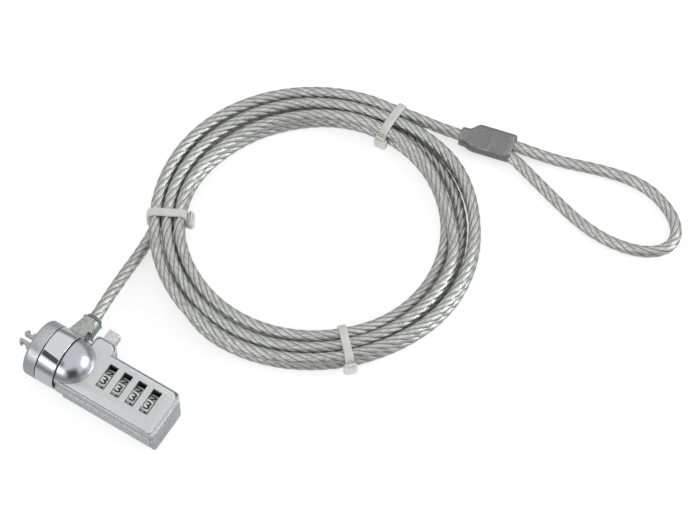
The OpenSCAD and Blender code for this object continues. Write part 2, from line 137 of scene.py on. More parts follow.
def tube_faces(rings, per_ring):
    """Faces between neighbouring closed rings of per_ring points."""
    return [(i * per_ring + k, i * per_ring + m, (i + 1) * per_ring + m, (i + 1) * per_ring + k)
            for i in range(rings - 1) for k, m in zip(range(per_ring), (*range(1, per_ring), 0))]


def apply_modifiers(obj):
    """Replaces the mesh by the evaluated one and drops the modifiers."""
    graph = bpy.context.evaluated_depsgraph_get()
    made = bpy.data.meshes.new_from_object(obj.evaluated_get(graph))
    obj.modifiers.clear()
    obj.data = made


def softened_copy(node, name, width, segments=2, keep=None):
    """A merged copy of a machined piece with its sharp edges rounded by width millimetres.
    keep(a, b) gives, from an edge's two ends in millimetres, the share of that width it gets."""
    flat, sharp = math.radians(0.6), math.radians(28)
    data = nodes[node].data.copy()
    data.name = name
    data.materials.clear()
    with editing(data) as work:
        bmesh.ops.remove_doubles(work, verts=work.verts, dist=2e-6)
        bmesh.ops.dissolve_limit(work, angle_limit=flat, verts=work.verts, edges=work.edges)
        layer = work.edges.layers.float.new("bevel_weight_edge")
        for edge in work.edges:
            if len(edge.link_faces) != 2 or edge.calc_face_angle(0.0) < sharp:
                continue
            a, b = (v.co * 1000 for v in edge.verts)
            edge[layer] = 1.0 if keep is None else float(keep(a, b))
    obj = link(bpy.data.objects.new(name, data))
    bevel = obj.modifiers.new("edges", "BEVEL")
    bevel.limit_method = "WEIGHT"
    bevel.width = mm(width)
    bevel.segments = segments
    bevel.use_clamp_overlap = False
    bevel.loop_slide = True
    bevel.harden_normals = False
    apply_modifiers(obj)
    smooth_shade(obj, 38)
    return obj


def lathe(name, profile, segments):
    """Turns a closed outline of (x, radius) millimetres about X."""
    turns = [2 * math.pi * k / segments for k in range(segments)]
    points = [mm(x, r * math.sin(a), r * math.cos(a)) for a in turns for x, r in profile]
    n = len(profile)
    faces = [(k * n + i, k * n + j, m * n + j, m * n + i)
             for k, m in zip(range(segments), (*range(1, segments), 0))
             for i, j in zip(range(n), (*range(1, n), 0))]
    obj = mesh_piece(name, points, faces)
    fix_outward(obj)
    smooth_shade(obj, 30)
    return obj


def rounded_corner(cx, cy, r, start, end, steps=5):
    """Points of an arc in degrees, for outlines."""
    return [
        (cx + r * math.cos(math.radians(start + (end - start) * i / steps)),
         cy + r * math.sin(math.radians(start + (end - start) * i / steps)))
        for i in range(steps + 1)
    ]


def finish_piece(obj, body, material, slot, *stands_for):
    """Gives a piece its material and its body, and hides the machined pieces that it stands for; slot is
    not used.
    """
    obj.data.materials.clear()
    obj.data.materials.append(material)
    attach(obj, body)
    if stands_for:
        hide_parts(*stands_for)
    return obj


# ---------------------------------------------------------------- shader groups

PER_MM = 1000.0  # a pattern's scale per metre for one repeat per millimetre


def new_tree(name, kind, inputs, outputs):
    """A node group; inputs are (name, kind, default) rows, and outputs are (name, kind) rows."""
    tree = bpy.data.node_groups.new(name, kind)
    for label, form, value in inputs:
        socket = tree.interface.new_socket(label, in_out="INPUT", socket_type="NodeSocket" + form)
        if value is not None:
            socket.default_value = value
    for label, form in outputs:
        tree.interface.new_socket(label, in_out="OUTPUT", socket_type="NodeSocket" + form)
    entry, leave = tree.nodes.new("NodeGroupInput"), tree.nodes.new("NodeGroupOutput")
    return tree, entry.outputs, leave.inputs


def new_effect(name, inputs, *outputs):
    """A shader node group whose outputs are all numbers that change over the surface."""
    return new_tree(name, "ShaderNodeTree", inputs, [(label, "Float") for label in outputs])


def fill(tree, socket, value):
    """Links a socket's value in if it comes from another socket, or else sets it."""
    if isinstance(value, bpy.types.NodeSocket):
        tree.links.new(value, socket)
    elif value is not None:
        socket.default_value = (*value, 1.0) if socket.type == "RGBA" and len(value) == 3 else value


def add_node(tree, kind, **inputs):
    """A node with its inputs filled; an underscore stands for a space in their names."""
    node = tree.nodes.new(kind)
    for label, value in inputs.items():
        fill(tree, node.inputs[label.replace("_", " ")], value)
    return node


def add_math(tree, kind, a, b=None, c=None, clamp=False):
    node = add_node(tree, "ShaderNodeMath")
    node.operation = kind
    node.use_clamp = clamp
    for socket, value in zip(node.inputs, (a, b, c)):
        fill(tree, socket, value)
    return node.outputs[0]


def add_noise(tree, vector, scale, detail=3.0, roughness=0.55, distortion=0.0):
    return add_node(tree, "ShaderNodeTexNoise", Vector=vector, Scale=scale, Detail=detail,
                    Roughness=roughness, Distortion=distortion).outputs["Fac"]


def add_range(tree, value, low, high, to_low=0.0, to_high=1.0, smooth=True):
    node = add_node(tree, "ShaderNodeMapRange", Value=value, From_Min=low, From_Max=high, To_Min=to_low,
                    To_Max=to_high)
    node.interpolation_type = "SMOOTHSTEP" if smooth else "LINEAR"
    return node.outputs["Result"]


def add_mix(tree, factor, a, b):
    """A mix of two colours."""
    node = add_node(tree, "ShaderNodeMix")
    node.data_type = "RGBA"
    for place, value in ((0, factor), (6, a), (7, b)):
        fill(tree, node.inputs[place], value)
    return node.outputs[2]


def make_cast_grain():
    """Fine mottle of a blasted and plated casting: a mask, a height and a slow cloud."""
    tree, entry, leave = new_effect(
        "cast_grain",
        [("Vector", "Vector", None), ("Grain per mm", "Float", 2.2), ("Cloud per mm", "Float", 0.12)],
        "Mask", "Cloud", "Height")
    scale = add_math(tree, "MULTIPLY", entry["Grain per mm"], PER_MM)
    fine = add_noise(tree, entry["Vector"], scale, 2.0, 0.6)
    scale = add_math(tree, "MULTIPLY", entry["Cloud per mm"], PER_MM)
    cloud = add_noise(tree, entry["Vector"], scale, 3.0, 0.5)
    fill(tree, leave["Mask"], add_range(tree, fine, 0.35, 0.68))
    fill(tree, leave["Cloud"], add_range(tree, cloud, 0.32, 0.68))
    fill(tree, leave["Height"], fine)
    return tree


def make_worn_edges():
    """Where an edge stands out: rubbed wear plus a painted edge highlight, broken up by noise; and painted
    shade in the hollows.
    """
    tree, entry, leave = new_effect(
        "worn_edges",
        [("Vector", "Vector", None), ("Reach", "Float", 0.06), ("Patches per mm", "Float", 0.9)],
        "Wear", "Dirt")
    pointed = add_node(tree, "ShaderNodeNewGeometry").outputs["Pointiness"]
    # Convex edges: wear and a painted edge highlight.
    edge = add_range(tree, pointed, 0.505, add_math(tree, "ADD", entry["Reach"], 0.5))
    # Hollows: where painted shade goes.
    hollow = add_range(tree, pointed, 0.497, add_math(tree, "SUBTRACT", 0.5, entry["Reach"]))
    scale = add_math(tree, "MULTIPLY", entry["Patches per mm"], PER_MM)
    patch = add_range(tree, add_noise(tree, entry["Vector"], scale, 4.0, 0.6), 0.3, 0.6)
    fill(tree, leave["Wear"], add_math(tree, "MULTIPLY", edge, patch))
    fill(tree, leave["Dirt"], hollow)
    return tree


def make_turned_lines():
    """Fine lines left by a lathe or a brush, running across the given stretch of the vector."""
    tree, entry, leave = new_effect(
        "turned_lines",
        [("Vector", "Vector", None), ("Along", "Vector", (1.0, 0.03, 0.03)),
         ("Lines per mm", "Float", 5.0)],
        "Lines", "Height")
    stretch = add_node(tree, "ShaderNodeVectorMath")
    stretch.operation = "MULTIPLY"
    fill(tree, stretch.inputs[0], entry["Vector"])
    fill(tree, stretch.inputs[1], entry["Along"])
    scale = add_math(tree, "MULTIPLY", entry["Lines per mm"], PER_MM)
    lines = add_noise(tree, stretch.outputs[0], scale, 3.0, 0.65)
    fill(tree, leave["Lines"], add_range(tree, lines, 0.3, 0.7, smooth=False))
    fill(tree, leave["Height"], lines)
    return tree


def make_handling():
    """Faint smudges and a few hair scratches from handling."""
    tree, entry, leave = new_effect(
        "handling",
        [("Vector", "Vector", None), ("Smudge per mm", "Float", 0.16), ("Scratch per mm", "Float", 0.5)],
        "Smudge", "Scratch")
    scale = add_math(tree, "MULTIPLY", entry["Smudge per mm"], PER_MM)
    smudge = add_noise(tree, entry["Vector"], scale, 2.0, 0.5, 0.6)
    fill(tree, leave["Smudge"], add_range(tree, smudge, 0.38, 0.66))
    scale = add_math(tree, "MULTIPLY", entry["Scratch per mm"], PER_MM)
    turn = add_node(tree, "ShaderNodeMapping", Vector=entry["Vector"], Rotation=(0.3, 0.2, 0.7),
                    Scale=(0.08, 1.0, 1.0))
    cells = add_node(tree, "ShaderNodeTexVoronoi")
    cells.feature = "DISTANCE_TO_EDGE"
    fill(tree, cells.inputs["Vector"], turn.outputs[0])
    fill(tree, cells.inputs["Scale"], scale)
    line = add_range(tree, cells.outputs["Distance"], 0.0, 0.012, 1.0, 0.0)
    few = add_range(tree, add_noise(tree, entry["Vector"], scale, 1.0), 0.55, 0.7)
    fill(tree, leave["Scratch"], add_math(tree, "MULTIPLY", line, few))
    return tree


def make_rope_strands():
    """Strands and wires of a laid cable from its UV: U once round it with the strands, V in metres."""
    tree, entry, leave = new_effect(
        "rope_strands",
        [("UV", "Vector", None), ("Strands", "Float", float(STRANDS)), ("Lay in m", "Float", mm(LAY)),
         ("Wires round", "Float", 30.0)],
        "Crest", "Wires", "Shade", "Height")
    split = tree.nodes.new("ShaderNodeSeparateXYZ")
    fill(tree, split.inputs[0], entry["UV"])
    u, v = split.outputs["X"], split.outputs["Y"]
    strand_phase = add_math(tree, "ADD", add_math(tree, "MULTIPLY", u, entry["Strands"]), 0.5)
    within = add_math(tree, "FRACT", strand_phase)
    off_centre = add_math(tree, "ABSOLUTE", add_math(tree, "SUBTRACT", within, 0.5))
    crest = add_range(tree, off_centre, 0.5, 0.30, 0.0, 1.0)
    jog = add_math(tree, "MULTIPLY", add_math(tree, "FLOOR", strand_phase), 0.37)
    turned = add_math(tree, "ADD", u, add_math(tree, "DIVIDE", v, entry["Lay in m"]))
    wire_phase = add_math(tree, "ADD", add_math(tree, "MULTIPLY", turned, entry["Wires round"]), jog)
    wave = add_math(tree, "SINE", add_math(tree, "MULTIPLY", wire_phase, 2 * math.pi))
    wires = add_math(tree, "MULTIPLY_ADD", wave, 0.5, 0.5)
    joined = add_node(tree, "ShaderNodeCombineXYZ", X=wire_phase, Y=add_math(tree, "MULTIPLY", v, 320.0))
    shade = add_noise(tree, joined.outputs[0], 1.0, 2.0, 0.6)
    fill(tree, leave["Crest"], crest)
    fill(tree, leave["Wires"], wires)
    fill(tree, leave["Shade"], add_range(tree, shade, 0.3, 0.7))
    fill(tree, leave["Height"], add_math(tree, "MULTIPLY", wires, crest))
    return tree


CAST_GRAIN = make_cast_grain()
WEAR_HIGHLIGHT_AND_SHADE = make_worn_edges()
TURNED_LINES = make_turned_lines()
HANDLING = make_handling()
ROPE_STRANDS = make_rope_strands()

# ---------------------------------------------------------------- materials


class Finish:
    """A material with a Principled shader, and short calls for what is wired to it."""

    def __init__(self, name, **settings):
        self.material = bpy.data.materials.new(name)
        self.material.use_nodes = True
        self.tree = self.material.node_tree
        self.shader = self.tree.nodes["Principled BSDF"]
        coords = self.tree.nodes.new("ShaderNodeTexCoord")
        self.place = coords.outputs["Object"]
        self.uv = coords.outputs["UV"]
        for label, value in settings.items():
            self.shader.inputs[label.replace("_", " ")].default_value = value

    def group(self, effect, vector=None, **values):
        node = add_node(self.tree, "ShaderNodeGroup")
        node.node_tree = effect
        node.label = effect.name
        fill(self.tree, node.inputs[0], self.place if vector is None else vector)
        for label, value in values.items():
            node.inputs[label.replace("_", " ")].default_value = value
        return node.outputs

    def colour(self, output):
        fill(self.tree, self.shader.inputs["Base Color"], output)

    def rough(self, output):
        fill(self.tree, self.shader.inputs["Roughness"], output)

    def bump(self, height, strength, distance=0.0001):
        node = add_node(self.tree, "ShaderNodeBump", Strength=strength, Distance=distance, Height=height)
        fill(self.tree, self.shader.inputs["Normal"], node.outputs[0])

    def glow(self, colour, strength):
        fill(self.tree, self.shader.inputs["Emission Color"], colour)
        fill(self.tree, self.shader.inputs["Emission Strength"], strength)

    def mix(self, factor, a, b):
        return add_mix(self.tree, factor, a, b)

    def math(self, kind, a, b=None, c=None, clamp=False):
        return add_math(self.tree, kind, a, b, c, clamp)

    def range(self, value, low, high, to_low, to_high):
        return add_range(self.tree, value, low, high, to_low, to_high)


def satin_metal(name, light, dark, rough=(0.34, 0.46), grain=2.2, wear_and_highlight=(0.9, 0.9, 0.9), metallic=1.0):
    """Blasted or satin plated metal: mottled, brighter at the edges by wear and a painted highlight,
    darker in the hollows by painted shade.
    """
    f = Finish(name, Metallic=metallic)
    grains = f.group(CAST_GRAIN, Grain_per_mm=grain)
    edges = f.group(WEAR_HIGHLIGHT_AND_SHADE)
    touch = f.group(HANDLING)
    base = f.mix(grains["Mask"], dark, light)
    base = f.mix(f.math("MULTIPLY", grains["Cloud"], 0.35), base, light)
    # Painted shade in the hollows.
    base = f.mix(f.math("MULTIPLY", edges["Dirt"], 0.45), base, tuple(0.35 * c for c in dark))
    # Edges lighter: wear and a painted edge highlight.
    base = f.mix(f.math("MULTIPLY", edges["Wear"], 0.7), base, wear_and_highlight)
    f.colour(base)
    level = f.range(grains["Mask"], 0, 1, rough[1], rough[0])
    level = f.math("ADD", level, f.math("MULTIPLY", touch["Smudge"], 0.05))
    f.rough(f.math("SUBTRACT", level, f.math("MULTIPLY", edges["Wear"], 0.08), clamp=True))
    f.bump(grains["Height"], 0.25, 0.00006)
    return f.material


def bright_metal(name, colour, rough, streak=(1.0, 0.03, 0.03), lines=4.0, line_depth=0.04):
    """Polished plating with the faintest turned lines, smudges and scratches."""
    f = Finish(name, Metallic=1.0)
    turned = f.group(TURNED_LINES, Along=streak, Lines_per_mm=lines)
    touch = f.group(HANDLING)
    tint = f.mix(f.math("MULTIPLY", turned["Lines"], 0.12), colour, tuple(0.8 * c for c in colour))
    tint = f.mix(f.math("MULTIPLY", touch["Smudge"], 0.10), tint, tuple(0.86 * c for c in colour))
    f.colour(tint)
    level = f.range(touch["Smudge"], 0, 1, rough, rough + 0.05)
    f.rough(f.math("ADD", level, f.math("MULTIPLY", touch["Scratch"], 0.12), clamp=True))
    f.bump(turned["Height"], line_depth, 0.00003)
    return f.material


def machined_metal(name, light, dark, rough=0.3):
    """Turned or brushed metal with visible lines."""
    f = Finish(name, Metallic=1.0)
    turned = f.group(TURNED_LINES)
    edges = f.group(WEAR_HIGHLIGHT_AND_SHADE)
    touch = f.group(HANDLING)
    base = f.mix(turned["Lines"], dark, light)
    # Edges lighter: wear and a painted edge highlight.
    base = f.mix(f.math("MULTIPLY", edges["Wear"], 0.6), base, tuple(min(1, 1.3 * c) for c in light))
    # Painted shade in the hollows.
    base = f.mix(f.math("MULTIPLY", edges["Dirt"], 0.5), base, tuple(0.3 * c for c in dark))
    f.colour(base)
    level = f.range(turned["Lines"], 0, 1, rough + 0.08, rough)
    f.rough(f.math("ADD", level, f.math("MULTIPLY", touch["Smudge"], 0.06), clamp=True))
    f.bump(turned["Height"], 0.2, 0.00004)
    return f.material


SATIN_ZINC = satin_metal("satin_zinc", (0.56, 0.58, 0.59), (0.50, 0.52, 0.53), wear_and_highlight=(0.78, 0.80, 0.82))
COVER_SILVER = satin_metal("cover_silver", (0.76, 0.77, 0.77), (0.69, 0.70, 0.71), rough=(0.36, 0.5))
LUG_ZINC = satin_metal("lug_zinc", (0.40, 0.44, 0.41), (0.33, 0.37, 0.34), rough=(0.38, 0.5),
                       wear_and_highlight=(0.6, 0.62, 0.6))
BUTTON_LILAC = satin_metal("button_lilac", (0.66, 0.64, 0.69), (0.58, 0.57, 0.61), rough=(0.36, 0.46))
WHEEL_SILVER = satin_metal("wheel_silver", (0.46, 0.46, 0.46), (0.40, 0.40, 0.41), rough=(0.36, 0.46),
                           grain=3.0, wear_and_highlight=(0.85, 0.85, 0.85), metallic=0.35)
BRIGHT_CHROME = bright_metal("bright_chrome", (0.80, 0.82, 0.84), 0.06)
DOME_CHROME = bright_metal("dome_chrome", (0.62, 0.65, 0.69), 0.24)
JAW_STEEL = bright_metal("jaw_steel", (0.50, 0.50, 0.51), 0.2, (0.03, 1.0, 0.03), 5.0, 0.12)
STEEL = machined_metal("steel", (0.55, 0.55, 0.56), (0.42, 0.42, 0.43))
DARK_STEEL = machined_metal("dark_steel", (0.16, 0.16, 0.17), (0.09, 0.09, 0.10), 0.38)
SPRING_STEEL = machined_metal("spring_steel", (0.55, 0.55, 0.56), (0.45, 0.45, 0.46), 0.25)
SPRING_BRASS = machined_metal("spring_brass", (0.62, 0.42, 0.16), (0.48, 0.31, 0.11), 0.28)
RING_BRASS = machined_metal("ring_brass", (0.66, 0.46, 0.18), (0.52, 0.34, 0.12), 0.26)


def matt_black(name, dark, light, grain, rough, depth):
    """Dull black plate or paint."""
    f = Finish(name, Metallic=0.0)
    grains = f.group(CAST_GRAIN, Grain_per_mm=grain)
    f.colour(f.mix(grains["Mask"], dark, light))
    f.rough(f.range(grains["Cloud"], 0, 1, *rough))
    f.bump(grains["Height"], 0.3, depth)
    return f.material


def make_coated_cable():
    """Galvanised strands under a thin clear coat."""
    f = Finish("coated_cable", Metallic=0.9, Coat_Weight=0.55, Coat_Roughness=0.16, Coat_IOR=1.5)
    rope = f.group(ROPE_STRANDS, f.uv)
    grains = f.group(CAST_GRAIN, Grain_per_mm=1.4, Cloud_per_mm=0.06)
    zinc = f.mix(rope["Shade"], (0.40, 0.405, 0.39), (0.92, 0.93, 0.90))
    zinc = f.mix(f.math("MULTIPLY", rope["Wires"], 0.35), zinc, (0.24, 0.245, 0.235))
    zinc = f.mix(f.math("MULTIPLY", grains["Mask"], 0.25), zinc, (0.78, 0.79, 0.76))
    # Painted shade in the valleys between strands: the dark colour where Crest is low.
    f.colour(f.mix(rope["Crest"], (0.24, 0.245, 0.23), zinc))
    f.rough(f.range(rope["Wires"], 0, 1, 0.30, 0.42))
    f.bump(rope["Height"], 0.35, 0.00012)
    return f.material


def make_tie_nylon():
    """Natural nylon: milky, waxy, with faint mould marks."""
    f = Finish("tie_nylon", Metallic=0.0, Subsurface_Weight=0.25, Subsurface_Scale=0.0012,
               Subsurface_Radius=(1.0, 0.85, 0.6), IOR=1.53, Specular_IOR_Level=0.45)
    grains = f.group(CAST_GRAIN, Grain_per_mm=1.2, Cloud_per_mm=0.2)
    edges = f.group(WEAR_HIGHLIGHT_AND_SHADE)
    base = f.mix(grains["Cloud"], (0.60, 0.595, 0.55), (0.68, 0.68, 0.65))
    # Painted shade in the hollows, tinted warm.
    base = f.mix(f.math("MULTIPLY", edges["Dirt"], 0.35), base, (0.36, 0.34, 0.26))
    f.colour(base)
    f.rough(f.range(grains["Mask"], 0, 1, 0.34, 0.5))
    f.bump(grains["Height"], 0.2, 0.00008)
    return f.material


def make_pressed_aluminium():
    """Dull pressed sleeve with die marks along its sides."""
    f = Finish("ferrule_aluminium", Metallic=1.0)
    grains = f.group(CAST_GRAIN, Grain_per_mm=1.8)
    lines = f.group(TURNED_LINES, Along=(0.12, 1.0, 1.0), Lines_per_mm=3.0)
    edges = f.group(WEAR_HIGHLIGHT_AND_SHADE)
    base = f.mix(grains["Mask"], (0.22, 0.225, 0.222), (0.32, 0.325, 0.32))
    base = f.mix(f.math("MULTIPLY", lines["Lines"], 0.3), base, (0.36, 0.365, 0.36))
    base = f.mix(f.math("MULTIPLY", grains["Cloud"], 0.35), base, (0.25, 0.25, 0.245))
    # Edges lighter: wear and a painted edge highlight.
    base = f.mix(f.math("MULTIPLY", edges["Wear"], 0.5), base, (0.5, 0.5, 0.5))
    # Painted shade in the hollows.
    base = f.mix(f.math("MULTIPLY", edges["Dirt"], 0.5), base, (0.05, 0.05, 0.05))
    f.colour(base)
    f.rough(f.range(grains["Mask"], 0, 1, 0.52, 0.4))
    f.bump(f.math("ADD", grains["Height"], lines["Height"]), 0.3, 0.00008)
    return f.material


BLACK_WASHER = matt_black("black_washer", (0.012, 0.012, 0.013), (0.03, 0.03, 0.032), 4.0, (0.5, 0.7),
                          0.00005)
FIGURE_PAINT = matt_black("figure_paint", (0.006, 0.006, 0.006), (0.016, 0.016, 0.017), 5.0, (0.45, 0.65),
                          0.00003)
COATED_CABLE = make_coated_cable()
TIE_NYLON = make_tie_nylon()
FERRULE_ALUMINIUM = make_pressed_aluminium()

# ---------------------------------------------------------------- cable

# Places of a turn in the bundle, as (radius, height) in millimetres, in the order of winding
BUNDLE = ((4.2, -7.1), (0.0, -7.1), (-4.2, -7.1), (-4.2, -2.95), (0.0, -2.95), (4.2, -2.95))
# Degrees clockwise from the start at which turn 0, 1, ... moves over to the next place
MOVES = ((306, 350), (262, 306), (205, 262), (160, 205), (108, 160))
TIES = ((176.5, -1), (57.5, -1), (-77.5, 1))  # (angle from the oval's long axis, side of the head)
SPREAD, WANDER = 0.75, 0.35  # how far the turns part between two ties, and sway, in millimetres
SAG, BOUNCE = 0.8, 0.25  # how far they sink there, and rise and fall
TOUCH = CABLE_D - 0.04  # closest that two turns' middles come
SETTLE_ROUNDS = 160  # how often the turns are pushed apart
# The cable's route, in millimetres: to the coil, from the coil to the ferrule, and the anchor loop
LEAD_POINTS = ((10.3, 15, 0), (10.3, 17, 0), (10.25, 19, -0.1), (9.8, 23, -0.5), (9.2, 28, -1.4),
               (8.5, 33.5, -2.9), (7.8, 39.2, -4.5), (7.2, 45, -6.2), (6.7, 50.4, -7.6), (6.3, 55, -8.0))
RUN_POINTS = ((51, 143.4, -3.3), (57.2, 145.2, -4.4), (64, 146.9, -6.0), (70, 148.2, -7),
              (77, 149.7, -7.2), (83, 151.4, -7.2), (89, 153.9, -7.2))
LOOP_POINTS = ((93.6, 155.6, -7.2), (98, 156.6, -7.6), (104.8, 158.1, -8.1), (112.6, 160, -8.1),
               (120.4, 162.6, -8.1), (128.4, 164.9, -8.1), (136, 166.2, -8.1), (143.6, 165.8, -8.1),
               (151.2, 163.2, -8.1), (157.4, 158.8, -8.1), (160, 153.6, -8.1), (158.8, 148.6, -8.1),
               (153.6, 144.2, -8.1), (146, 141.8, -8.1), (137, 141.1, -8.1), (127, 142.5, -8.1),
               (117.4, 145.1, -8.1), (108.6, 147.8, -8.1), (101, 150, -7.7), (94.8, 151.4, -7.2),
               (89, 150.4, -7.2))


def smoothstep(x):
    x = min(max(x, 0.0), 1.0)
    return x * x * (3 - 2 * x)


def slack_at(angle):
    """0 within tight degrees of a tie, and 1 from loose degrees onwards."""
    tight, loose = 6, 50
    nearest = min(abs((angle - tie - COIL_TURN + 180) % 360 - 180) for tie, _ in TIES)
    return smoothstep((nearest - tight) / (loose - tight))


def on_oval(angle, offset):
    """Point of the coil's oval middle line, moved outwards by offset; angle is from its long axis."""
    a, b = (COIL_R + offset) * math.cos(angle), (COIL_SQUASH * COIL_R + offset) * math.sin(angle)
    c, s = math.cos(math.radians(COIL_TURN)), math.sin(math.radians(COIL_TURN))
    return COIL_X + c * a - s * b, COIL_Y + s * a + c * b


def coil_points(step=3.0):
    """Centre line of the turns, clockwise seen from above, with neighbours pushed clear."""
    per_turn = int(360 / step)
    total = int(TURNS * 360 / step)
    points = []
    for i in range(total + 1):
        along = i * step
        turn, local = int(along // 360), along % 360
        angle = START_ANGLE - along
        here = BUNDLE[turn]
        if turn < 5:
            begin, end = MOVES[turn]
            part = smoothstep((local - begin) / (end - begin))
            there = BUNDLE[turn + 1]
            here = tuple(a + (b - a) * part for a, b in zip(here, there))
        slack = slack_at(angle)
        sway = math.sin(math.radians(2.1 * along + 40 * turn))
        r = here[0] + slack * (SPREAD * here[0] / CABLE_D + WANDER * sway)
        z = here[1] - slack * SAG + BOUNCE * slack * math.sin(math.radians(1.7 * along))
        points.append((*on_oval(math.radians(angle - COIL_TURN), r), z))
    place = np.array(points)
    start = place.copy()
    rows = np.arange(len(place))
    for _ in range(SETTLE_ROUNDS):
        push = np.zeros_like(place)
        hits = np.zeros(len(place))
        for turn in range(1, 6):
            for shift in (-1, 0, 1):
                gap = turn * per_turn + shift
                a = rows[: len(place) - gap]
                b = a + gap
                away = place[b] - place[a]
                distance = np.linalg.norm(away, axis=1)
                short = np.clip(TOUCH - distance, 0, None)
                move = away / np.maximum(distance, 1e-6)[:, None] * (0.5 * short)[:, None]
                np.add.at(push, a, -move)
                np.add.at(push, b, move)
                np.add.at(hits, a, short > 0)
                np.add.at(hits, b, short > 0)
        place += push / np.maximum(hits, 1)[:, None]
        drift = place - start
        drift[1:-1] = 0.5 * drift[1:-1] + 0.25 * (drift[:-2] + drift[2:])
        place = start + drift
        place[:, 2] = np.maximum(place[:, 2], FLOOR_Z + CABLE_R + 0.02)
    return place


def smooth_curve(points, per_span=6):
    """Catmull-Rom curve through the points, with centripetal spacing."""
    p = np.asarray(points, float)
    p = np.vstack([2 * p[0] - p[1], p, 2 * p[-1] - p[-2]])
    out = []
    for i in range(1, len(p) - 2):
        p0, p1, p2, p3 = p[i - 1], p[i], p[i + 1], p[i + 2]
        t1 = np.linalg.norm(p1 - p0) ** 0.5
        t2 = t1 + np.linalg.norm(p2 - p1) ** 0.5
        t3 = t2 + np.linalg.norm(p3 - p2) ** 0.5
        for k in range(per_span):
            t = t1 + (t2 - t1) * k / per_span
            a1 = (t1 - t) / t1 * p0 + t / t1 * p1
            a2 = (t2 - t) / (t2 - t1) * p1 + (t - t1) / (t2 - t1) * p2
            a3 = (t3 - t) / (t3 - t2) * p2 + (t - t2) / (t3 - t2) * p3
            b1 = (t2 - t) / t2 * a1 + t / t2 * a2
            b2 = (t3 - t) / (t3 - t1) * a2 + (t - t1) / (t3 - t1) * a3
            out.append((t2 - t) / (t2 - t1) * b1 + (t - t1) / (t2 - t1) * b2)
    out.append(p[-2])
    return np.array(out)


def even_steps(points, step):
    lengths = np.concatenate([[0], np.cumsum(np.linalg.norm(np.diff(points, axis=0), axis=1))])
    count = int(round(lengths[-1] / step))
    at = np.linspace(0, lengths[-1], count + 1)
    return np.stack([np.interp(at, lengths, points[:, i]) for i in range(3)], axis=1), lengths[-1]


def soften_line(points, rounds=6):
    p = points.copy()
    for _ in range(rounds):
        p[1:-1] = 0.5 * p[1:-1] + 0.25 * (p[:-2] + p[2:])
    return p


def sweep_frames(points):
    """Side vectors carried along the line without spin."""
    tangent = np.gradient(points, axis=0)
    tangent /= np.linalg.norm(tangent, axis=1)[:, None]
    side = np.zeros_like(points)
    first = np.cross(tangent[0], (0.0, 0.0, 1.0))
    side[0] = first / np.linalg.norm(first)
    for i in range(1, len(points)):
        s = side[i - 1] - np.dot(side[i - 1], tangent[i]) * tangent[i]
        side[i] = s / np.linalg.norm(s)
    return tangent, side, np.cross(tangent, side)


COIL_LINE = coil_points()
route = np.vstack([LEAD_POINTS, COIL_LINE, RUN_POINTS, LOOP_POINTS])
centre_line, _ = even_steps(smooth_curve(route), 1.05)
centre_line = soften_line(centre_line)
centre_line, CABLE_LENGTH = even_steps(centre_line, 1.05)


def make_cable():
    """The laid cable: six lobes that wind round the centre line, with a UV map that follows them."""
    per_ring = 6 * STRANDS
    tangent, side, up = sweep_frames(centre_line)
    step = CABLE_LENGTH / (len(centre_line) - 1)
    along = np.arange(len(centre_line)) * step
    around = np.arange(per_ring) / per_ring * 2 * math.pi
    radius = 1.84 + 0.25 * np.abs(np.cos(STRANDS / 2 * around)) ** 0.8
    twist = 2 * math.pi * along / LAY
    angle = around[None, :] + twist[:, None]
    ring = (side[:, None, :] * np.cos(angle)[:, :, None] + up[:, None, :] * np.sin(angle)[:, :, None])
    points = (centre_line[:, None, :] + ring * radius[None, :, None]).reshape(-1, 3) / 1000
    last = len(centre_line) - 1
    faces = tube_faces(last + 1, per_ring)
    uvs = []
    for v0, v1 in zip(along[:-1] / 1000, along[1:] / 1000):
        for k in range(per_ring):
            u0, u1 = k / per_ring, (k + 1) / per_ring
            uvs += [(u0, v0), (u1, v0), (u1, v1), (u0, v1)]
    faces += [tuple(range(per_ring - 1, -1, -1)), tuple(last * per_ring + k for k in range(per_ring))]
    uvs += [(k / per_ring, 0.0) for k in range(per_ring)] * 2
    obj = mesh_piece("cable", points, faces)
    layer = obj.data.uv_layers.new(name="strands")
    layer.data.foreach_set("uv", np.array(uvs, np.float32).ravel())
    smooth_shade(obj)
    return obj


cable = make_cable()


def tie_place(angle):
    """Middle of a tie on the oval, and the direction out of the coil there; angle as in on_oval."""
    a = math.radians(angle)
    out = math.atan2(math.sin(a), COIL_SQUASH * math.cos(a)) + math.radians(COIL_TURN)
    return np.array((*on_oval(a, 0.0), 0.0)), out


def strands_at(middle, a):
    """Centres of the turns that cross a tie's plane: (distance outwards from its middle, z)."""
    rel = centre_line - middle
    out_way, side_way = rel @ (math.cos(a), math.sin(a), 0), rel @ (-math.sin(a), math.cos(a), 0)
    found = []
    for i in np.nonzero((side_way[:-1] * side_way[1:] <= 0) & (np.abs(out_way[:-1]) < 14))[0]:
        t = side_way[i] / (side_way[i] - side_way[i + 1] + 1e-12)
        found.append((out_way[i] + t * (out_way[i + 1] - out_way[i]),
                      centre_line[i][2] + t * (centre_line[i + 1][2] - centre_line[i][2])))
    return np.array(found)


def new_maker(name, *inputs):
    """A Geometry Nodes tree that takes a mesh, the given inputs and a material called Finish."""
    rows = [("Geometry", "Geometry", None), *inputs, ("Finish", "Material", None)]
    return new_tree(name, "GeometryNodeTree", rows, [("Geometry", "Geometry")])


def paint_result(tree, entry, leave, geometry):
    """Ends a tree with its material."""
    paint = add_node(tree, "GeometryNodeSetMaterial", Geometry=geometry, Material=entry["Finish"])
    fill(tree, leave[0], paint.outputs[0])
    return tree


